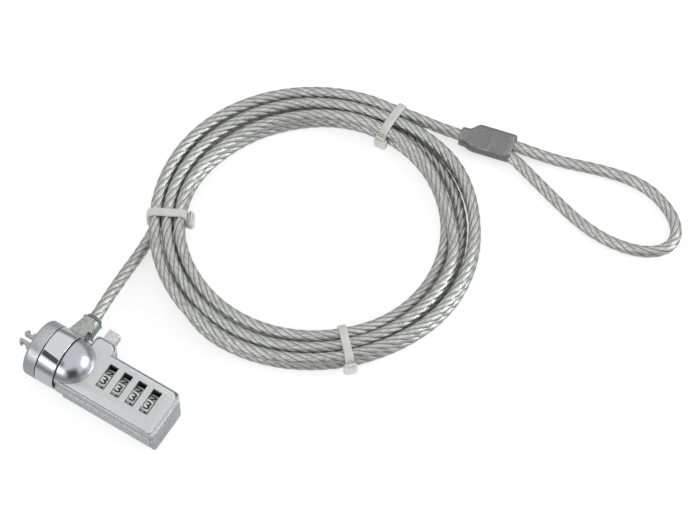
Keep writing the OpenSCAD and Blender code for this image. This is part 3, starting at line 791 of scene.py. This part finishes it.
def make_teeth_tree():
    """Small ribs set along a line, for the cut tail of a cable tie."""
    tree, entry, leave = new_maker(
        "tie_teeth", ("Count", "Int", 4), ("Pitch", "Float", 0.0006),
        ("Rib size", "Vector", (0.0003, 0.0012, 0.0002)), ("Start", "Vector", (0, 0, 0)))
    offset = add_node(tree, "ShaderNodeCombineXYZ", Z=entry["Pitch"])
    line = add_node(tree, "GeometryNodeMeshLine", Count=entry["Count"], Start_Location=entry["Start"],
                    Offset=offset.outputs[0])
    rib = add_node(tree, "GeometryNodeMeshCube", Size=entry["Rib size"])
    ribs = add_node(tree, "GeometryNodeInstanceOnPoints", Points=line.outputs[0],
                    Instance=rib.outputs["Mesh"])
    real = add_node(tree, "GeometryNodeRealizeInstances", Geometry=ribs.outputs[0])
    both = add_node(tree, "GeometryNodeJoinGeometry", Geometry=real.outputs[0])
    fill(tree, both.inputs[0], entry["Geometry"])
    return paint_result(tree, entry, leave, both.outputs[0])


TEETH_TREE = make_teeth_tree()


def set_inputs(modifier, **values):
    """Sets a Geometry Nodes modifier's inputs by their sockets' identifiers."""
    for item in modifier.node_group.interface.items_tree:
        label = item.name.replace(" ", "_")
        if item.item_type == "SOCKET" and item.in_out == "INPUT" and label in values:
            modifier[item.identifier] = values[label]


def add_block(points, faces, low, high, chamfer):
    """A block with chamfered upright edges and a slightly smaller top and bottom, in millimetres."""
    (x0, y0, z0), (x1, y1, z1) = low, high
    c = chamfer
    base = len(points)
    rings = ((z0, 0.35), (z0 + 0.35, 0.0), (z1 - 0.35, 0.0), (z1, 0.35))
    for z, inset in rings:
        a0, a1, b0, b1 = x0 + inset, x1 - inset, y0 + inset, y1 - inset
        points += [(a0 + c, b0, z), (a1 - c, b0, z), (a1, b0 + c, z), (a1, b1 - c, z),
                   (a1 - c, b1, z), (a0 + c, b1, z), (a0, b1 - c, z), (a0, b0 + c, z)]
    made = [*tube_faces(4, 8), tuple(range(7, -1, -1)), tuple(range(24, 32))]
    faces += [tuple(base + v for v in face) for face in made]


def make_tie(name, angle, head_side):
    """A strap drawn tight round the strands at an angle, with its head and cut tail."""
    middle, out = tie_place(angle)
    centres = strands_at(middle, out)
    width, thick, rounds = 2.9, 0.9, 96
    profile = ((0.0, -1.0), (0.0, 1.0), (0.7, 1.0), (1.0, 0.82), (1.0, -0.82), (0.7, -1.0))
    points, faces = [], []
    for k in range(rounds):
        way = np.array((math.cos(2 * math.pi * k / rounds), math.sin(2 * math.pi * k / rounds)))
        outermost = centres[np.argmax(centres @ way)]
        for depth, across in profile:
            r, z = outermost + way * (CABLE_R + 0.02 + thick * depth)
            points.append((r, across * width / 2, max(z, FLOOR_Z + 0.01)))
    n = len(profile)
    for k in range(rounds):
        m = (k + 1) % rounds
        for i in range(n):
            j = (i + 1) % n
            faces.append((k * n + i, m * n + i, m * n + j, k * n + j))
    edge = centres[:, 0].max() + CABLE_R if head_side > 0 else centres[:, 0].min() - CABLE_R
    x = edge + head_side * 1.7
    add_block(points, faces, (x - 1.3, -2.4, -7.9), (x + 1.3, 2.4, -3.3), 0.8)  # head
    add_block(points, faces, (x - 0.45, -1.6, -3.6), (x + 0.45, 1.6, -1.2), 0.2)  # cut tail
    obj = mesh_piece(name, [mm(*p) for p in points], faces)
    teeth = obj.modifiers.new("teeth", "NODES")
    teeth.node_group = TEETH_TREE
    set_inputs(teeth, Count=4, Pitch=mm(0.5), Rib_size=mm(0.36, 2.4, 0.22),
               Start=mm(x - head_side * 0.5, 0, -2.95), Finish=TIE_NYLON)
    apply_modifiers(obj)
    obj.data.transform(Matrix.Translation(mm(*middle)) @ Matrix.Rotation(out, 4, "Z"))
    with editing(obj.data) as work:
        bmesh.ops.recalc_face_normals(work, faces=work.faces)
    smooth_shade(obj, 32)
    return finish_piece(obj, "ring_and_cable", TIE_NYLON, "tie_nylon", name.replace("strap", "cable"))


def make_ferrule():
    """Pressed sleeve: a round neck on the single strand, then a flat body round both legs."""
    place = Matrix.Translation(mm(76, 149.2, FLOOR_Z)) @ Matrix.Rotation(math.radians(13), 4, "Z")
    stations = (  # x, low y, high y, low z, high z
        (0.0, -2.9, 2.9, 0.45, 5.7), (0.25, -3.2, 3.2, 0.1, 5.95), (2.6, -3.3, 3.3, 0.0, 6.0),
        (3.4, -3.75, 3.9, 0.0, 6.0), (4.6, -4.2, 5.3, 0.0, 5.95), (5.6, -4.3, 6.05, 0.05, 5.9),
        (7.0, -4.3, 6.2, 0.1, 5.75), (10.5, -4.3, 6.2, 0.1, 5.7), (11.2, -4.3, 6.2, 0.0, 5.95),
        (12.0, -4.3, 6.2, 0.1, 5.7), (16.6, -4.3, 6.2, 0.1, 5.75), (18.4, -4.25, 6.15, 0.05, 5.85),
        (19.0, -4.0, 5.9, 0.3, 5.6), (19.0, -3.5, 5.4, 0.9, 5.0), (18.3, -3.4, 5.3, 1.0, 4.9))
    per_ring = 48
    points = []
    for x, y0, y1, z0, z1 in stations:
        cy, cz, hy, hz = (y0 + y1) / 2, (z0 + z1) / 2, (y1 - y0) / 2, (z1 - z0) / 2
        corner = min(hz, hy) * 0.86
        for k in range(per_ring):
            a = 2 * math.pi * k / per_ring
            c, s = math.cos(a), math.sin(a)
            y = cy + math.copysign(hy - corner, c) * min(1, abs(c) * 4) + corner * c
            z = cz + math.copysign(hz - corner, s) * min(1, abs(s) * 4) + corner * s
            ridge = 0.10 * max(0.0, 1 - abs(s) / 0.13) if x > 4 and abs(c) > 0.9 else 0.0
            points.append((x, y + math.copysign(ridge, c), z))
    first = (len(stations) - 1) * per_ring
    faces = tube_faces(len(stations), per_ring)
    faces += [tuple(range(per_ring)), tuple(range(first, first + per_ring))]
    obj = mesh_piece("ferrule", [mm(*p) for p in points], faces)
    obj.data.transform(place)
    fix_outward(obj)
    smooth_shade(obj, 34)
    return finish_piece(obj, "ring_and_cable", FERRULE_ALUMINIUM, "ferrule_aluminium", "loop_ferrule")


ferrule = make_ferrule()
ties = [make_tie(f"strap_tie_{count}", *tie) for count, tie in enumerate(TIES, 1)]
finish_piece(cable, "ring_and_cable", COATED_CABLE, "coated_cable",
             "cable_lead", "cable_coil", "cable_run", "cable_loop")
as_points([mm(*p) for p in centre_line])

# ---------------------------------------------------------------- head


def make_ring():
    """Bright ring with softened rims."""
    r, bore, x0, x1, soft = 10.2, 6.46, 5.2, 12.2, 0.28
    outline = [(x0, bore)]
    outline += [(x, y) for x, y in rounded_corner(x0 + soft, r - soft, soft, 180, 90)]
    outline += [(x, y) for x, y in rounded_corner(x1 - soft, r - soft, soft, 90, 0)]
    outline.append((x1, bore))
    return lathe("ring", outline, 240)


def make_dome():
    """Bright ball segment on the deck, with a chamfered rim by the ring and a shadow line at its foot."""
    cx, deck, r, chamfer = 12.5, 3.4, 9.8, 0.24
    across, up = 120, 40
    first = math.asin(math.hypot(deck + 0.14, chamfer) / r) + 0.002
    turns = [first + (math.pi - 2 * first) * i / across for i in range(across + 1)]
    points = []

    def on_ball(a, share):
        low = math.asin((deck + 0.14) / (r * math.sin(a)))
        high = math.acos(chamfer / (r * math.sin(a)))
        b = low + (high - low) * share
        return cx + r * math.sin(a) * math.cos(b), r * math.cos(a), r * math.sin(a) * math.sin(b)

    for height in (deck - 0.02, deck + 0.12):
        for a in turns:
            x, y, _ = on_ball(a, 0.0)
            reach = math.hypot(x - cx, y)
            points.append(mm(cx + (x - cx) * (1 - 0.2 / reach), y * (1 - 0.2 / reach), height))
    for k in range(up + 1):
        points += [mm(*on_ball(a, k / up)) for a in turns]
    points += [mm(cx, (r - chamfer) * math.cos(a), (r - chamfer) * math.sin(a)) for a in turns]
    n = across + 1
    faces = [(k * n + i, k * n + i + 1, (k + 1) * n + i + 1, (k + 1) * n + i)
             for k in range(up + 3) for i in range(across)]
    obj = mesh_piece("dome_shell", points, faces)
    with editing(obj.data) as work:
        bmesh.ops.holes_fill(work, edges=[e for e in work.edges if e.is_boundary], sides=0)
        bmesh.ops.triangulate(work, faces=[f for f in work.faces if len(f.verts) > 4])
        bmesh.ops.recalc_face_normals(work, faces=work.faces)
    smooth_shade(obj, 24)
    return obj


def outer_edges(a, b):
    """The housing's outside edges, but not those of its pockets."""
    def outside(p):
        return abs(p.y) > 8.75 or p.z < -9.9 or p.x < 12.6 or p.x > 52.2
    return 1.0 if outside(a) and outside(b) else 0.0


def top_edges(a, b):
    return 1.0 if a.z > 3.3 and b.z > 3.3 else 0.0


def jaw_edges(a, b):
    return 1.0 if max(a.x, b.x) < -2.0 else 0.4


def soften(node, name, width, body, material, slot, segments=2, keep=None):
    """Shows a machined piece by a copy with softened edges."""
    finish_piece(softened_copy(node, name, width, segments, keep), body, material, slot, node)


soften("front_cap", "cap", 0.14, "housing", SATIN_ZINC, "satin_zinc")
finish_piece(make_ring(), "ring_and_cable", BRIGHT_CHROME, "bright_chrome", "swivel_ring")
soften("cable_lug", "lug", 0.25, "ring_and_cable", LUG_ZINC, "lug_zinc", 3)
finish_piece(make_dome(), "housing", DOME_CHROME, "bright_chrome", "dome")
soften("lower_housing", "case", 0.22, "housing", SATIN_ZINC, "satin_zinc", keep=outer_edges)
soften("cover_plate", "cover", 0.13, "housing", COVER_SILVER, "cover_silver", keep=top_edges)
soften("end_cap", "rear_plate", 0.16, "housing", SATIN_ZINC, "satin_zinc", keep=outer_edges)
soften("push_button", "button_head", 0.28, "button", BUTTON_LILAC, "button_lilac", 3)
for side in ("left", "right"):
    soften("jaw_" + side, "nose_finger_" + side, 0.42, "jaw_" + side, JAW_STEEL, "jaw_steel", 3, jaw_edges)

# ---------------------------------------------------------------- number wheels


def make_wheel_tree():
    """Turns one tenth of a wheel ten times round X, joins the copies and moves them to the axle."""
    tree, entry, leave = new_maker("ten_facets", ("Facets", "Int", 10), ("Centre", "Vector", (0, 0, 0)))
    line = add_node(tree, "GeometryNodeMeshLine", Count=entry["Facets"], Offset=(0, 0, 0))
    index = add_node(tree, "GeometryNodeInputIndex")
    share = add_math(tree, "DIVIDE", 2 * math.pi, entry["Facets"])
    angle = add_node(tree, "ShaderNodeCombineXYZ", X=add_math(tree, "MULTIPLY", index.outputs[0], share))
    facets = add_node(tree, "GeometryNodeInstanceOnPoints", Points=line.outputs[0],
                      Instance=entry["Geometry"], Rotation=angle.outputs[0])
    real = add_node(tree, "GeometryNodeRealizeInstances", Geometry=facets.outputs[0])
    weld = add_node(tree, "GeometryNodeMergeByDistance", Geometry=real.outputs[0], Distance=1e-6)
    move = add_node(tree, "GeometryNodeTransform", Geometry=weld.outputs[0], Translation=entry["Centre"])
    return paint_result(tree, entry, leave, move.outputs[0])


WHEEL_TREE = make_wheel_tree()
FACET = 5.86  # distance of a figure's flat from the axle
# Half of a facet's outline, from the top of a grip ridge to the middle of its flat: (degrees, radius)
RIDGE = ((18, WHEEL_R), (16.9, 6.385), (15.9, 6.27), (15.0, 6.10),
         *((a, FACET / math.cos(math.radians(a))) for a in (14.3, 7, 0)))
HUB = 4.15  # radius of a wheel's open middle


def wheel_sector():
    """One figure's flat with half a grip ridge on each side, round an axle at the origin."""
    outline = [(-a, r) for a, r in RIDGE] + [(a, r) for a, r in reversed(RIDGE[:-1])]
    half, soft = WHEEL_W / 2, 0.16
    inner = half - soft
    levels = ((-half, None), (-half, soft), (-inner, 0.0), (inner, 0.0), (half, soft), (half, None))
    points, faces = [], []
    for x, drop in levels:
        for a, r in outline:
            size = HUB if drop is None else r - drop
            t = math.radians(a)
            points.append(mm(x, size * math.sin(t), size * math.cos(t)))
    n = len(outline)
    for k in range(len(levels)):
        m = (k + 1) % len(levels)
        for i in range(n - 1):
            faces.append((k * n + i, m * n + i, m * n + i + 1, k * n + i + 1))
    return points, faces


def make_wheel(number):
    points, faces = wheel_sector()
    obj = mesh_piece(f"dial_{number}", points, faces)
    turns = obj.modifiers.new("facets", "NODES")
    turns.node_group = WHEEL_TREE
    set_inputs(turns, Facets=10, Centre=mm(WHEEL_X[number - 1], 0, AXIS_Z), Finish=WHEEL_SILVER)
    apply_modifiers(obj)
    fix_outward(obj)
    smooth_shade(obj, 30)
    return finish_piece(obj, f"wheel_{number}", WHEEL_SILVER, "wheel_silver", f"number_wheel_{number}")


def figure_mesh(figure, height, widest):
    """A bold figure as a thin raised plate, centred on the origin, in millimetres."""
    text = bpy.data.curves.new("figure", "FONT")
    text.body = str(figure)
    text.size = 4.0
    text.offset = 0.075
    text.extrude = 0.015
    text.resolution_u = 6
    obj = link(bpy.data.objects.new("figure", text))
    made = bpy.data.meshes.new_from_object(obj.evaluated_get(bpy.context.evaluated_depsgraph_get()))
    bpy.data.objects.remove(obj)
    spots = np.array([v.co for v in made.vertices])
    low, high = spots.min(0), spots.max(0)
    tall = height / (high[1] - low[1])
    wide = min(widest / (high[0] - low[0]), tall * 1.35)
    to_middle = Matrix.Translation((-(low[0] + high[0]) / 2, -(low[1] + high[1]) / 2, 0))
    made.transform(Matrix.Diagonal((wide, tall, 1, 1)) @ to_middle)
    return made


def make_figures(number):
    """All ten figures of a wheel; 3 is on top in the window."""
    work = bmesh.new()
    for place in range(10):
        figure = (3 - place) % 10
        a = math.radians(36 * place)
        axle = Matrix.Translation((WHEEL_X[number - 1], 0, AXIS_Z))
        turn = Matrix.Rotation(-a, 4, "X") @ Matrix.Translation((0, 0, FACET + 0.004))
        flat = figure_mesh(figure, 3.05, 2.5)
        flat.transform(Matrix.Scale(0.001, 4) @ axle @ turn)
        work.from_mesh(flat)
    data = bpy.data.meshes.new(f"figures_{number}")
    work.to_mesh(data)
    work.free()
    obj = link(bpy.data.objects.new(f"figures_{number}", data))
    fix_outward(obj)
    return finish_piece(obj, f"wheel_{number}", FIGURE_PAINT, "wheel_silver")


for number in (1, 2, 3, 4):
    make_wheel(number)
    make_figures(number)

# ---------------------------------------------------------------- other machined pieces

soften("cover_screws", "screws_below", 0.08, "housing", DARK_STEEL, "dark_steel")
soften("reset_screw", "code_screw", 0.1, "reset", DARK_STEEL, "dark_steel")
soften("crimp_sleeve", "crimp", 0.1, "ring_and_cable", STEEL, "steel")
for material, kept in (
        (STEEL, ("neck_tube", "jaw_pivot_pins", "locking_spindle", "spreader_wedge")),
        (BLACK_WASHER, ("swivel_washers",)),
        (SPRING_BRASS, ("detent_spring",)),
        (DARK_STEEL, ("spindle_clip",)),
        (SPRING_STEEL, ("spindle_spring", "button_spring")),
        (RING_BRASS, ("code_ring_1", "code_ring_2", "code_ring_3", "code_ring_4"))):
    for node in kept:
        nodes[node].data.materials.clear()
        nodes[node].data.materials.append(material)

# ---------------------------------------------------------------- studio


def make_floor():
    f = Finish("table_top", Metallic=0.0)
    grains = f.group(CAST_GRAIN, Grain_per_mm=0.5, Cloud_per_mm=0.01)
    f.colour(f.mix(grains["Cloud"], (0.52, 0.52, 0.52), (0.54, 0.54, 0.54)))
    f.rough(f.range(grains["Mask"], 0, 1, 0.7, 0.8))
    f.glow((1.0, 1.0, 1.0), 0.62)
    reach = 3000
    corners = ((-reach, -reach), (reach, -reach), (reach, reach), (-reach, reach))
    floor = mesh_piece("table", [mm(x, y, FLOOR_Z) for x, y in corners], [(0, 1, 2, 3)])
    floor.data.materials.append(f.material)
    floor.visible_glossy = False
    floor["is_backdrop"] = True


HEAD = Vector(mm(9, 0, 5))  # what the lights and cards face


def aim(obj, spot):
    obj.location = spot
    obj.rotation_euler = (HEAD - Vector(spot)).to_track_quat("-Z", "Y").to_euler()


def soft_light(name, spot, width, height, power, colour=(1, 1, 1)):
    data = bpy.data.lights.new(name, "AREA")
    data.shape = "RECTANGLE"
    data.size, data.size_y = width, height
    data.energy = power
    data.color = colour
    aim(link(bpy.data.objects.new(name, data)), spot)


def dark_card(name, spot, width, height, level):
    """A card seen only in reflections, as studio flags are."""
    w, h = width / 2, height / 2
    card = mesh_piece(name, [(-w, -h, 0), (w, -h, 0), (w, h, 0), (-w, h, 0)], [(0, 1, 2, 3)])
    f = Finish(name, Metallic=0.0, Roughness=1.0)
    grains = f.group(CAST_GRAIN, Grain_per_mm=0.02)
    f.colour(f.mix(grains["Mask"], (0.0, 0.0, 0.0), (0.002, 0.002, 0.002)))
    f.glow((level, level * 1.02, level), 1.0)
    card.data.materials.append(f.material)
    aim(card, spot)
    card.visible_camera = card.visible_diffuse = card.visible_shadow = card.visible_transmission = False
    card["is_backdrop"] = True


def make_sky():
    """Even white light overhead that falls off towards the horizon."""
    world = bpy.data.worlds.new("studio")
    bpy.context.scene.world = world
    world.use_nodes = True
    tree = world.node_tree
    split = tree.nodes.new("ShaderNodeSeparateXYZ")
    fill(tree, split.inputs[0], add_node(tree, "ShaderNodeTexCoord").outputs["Generated"])
    above = add_range(tree, split.outputs["Z"], 0.0, 0.34, 0.3, 1.0)
    below = add_range(tree, split.outputs["Z"], -0.04, -0.4, 0.3, 0.74)
    shade = tree.nodes["Background"].inputs
    fill(tree, shade["Strength"], add_math(tree, "MAXIMUM", above, below))
    fill(tree, shade["Color"], (0.80, 0.80, 0.80))


make_floor()
make_sky()
soft_light("front_box", (-0.25, -1.15, 0.62), 1.1, 0.34, 3.0)
soft_light("side_box", HEAD + 1.2 * Vector((0.829, 0.437, 0.349)), 0.62, 0.42, 4.0, (0.95, 0.98, 1.0))
dark_card("flag_over_lens", HEAD + 0.6 * Vector((-0.248, -0.575, 0.785)), 0.36, 0.20, 0.08)
dark_card("flag_low", HEAD + 0.8 * Vector((0.70, -0.63, 0.36)), 0.62, 0.52, 0.02)

bpy.context.scene.view_settings.view_transform = "Standard"

shown_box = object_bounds()
boxes = {name: [list(map(float, corner)) for corner in box] for name, box in
         (("cad", cad_box), ("shown", shown_box))}
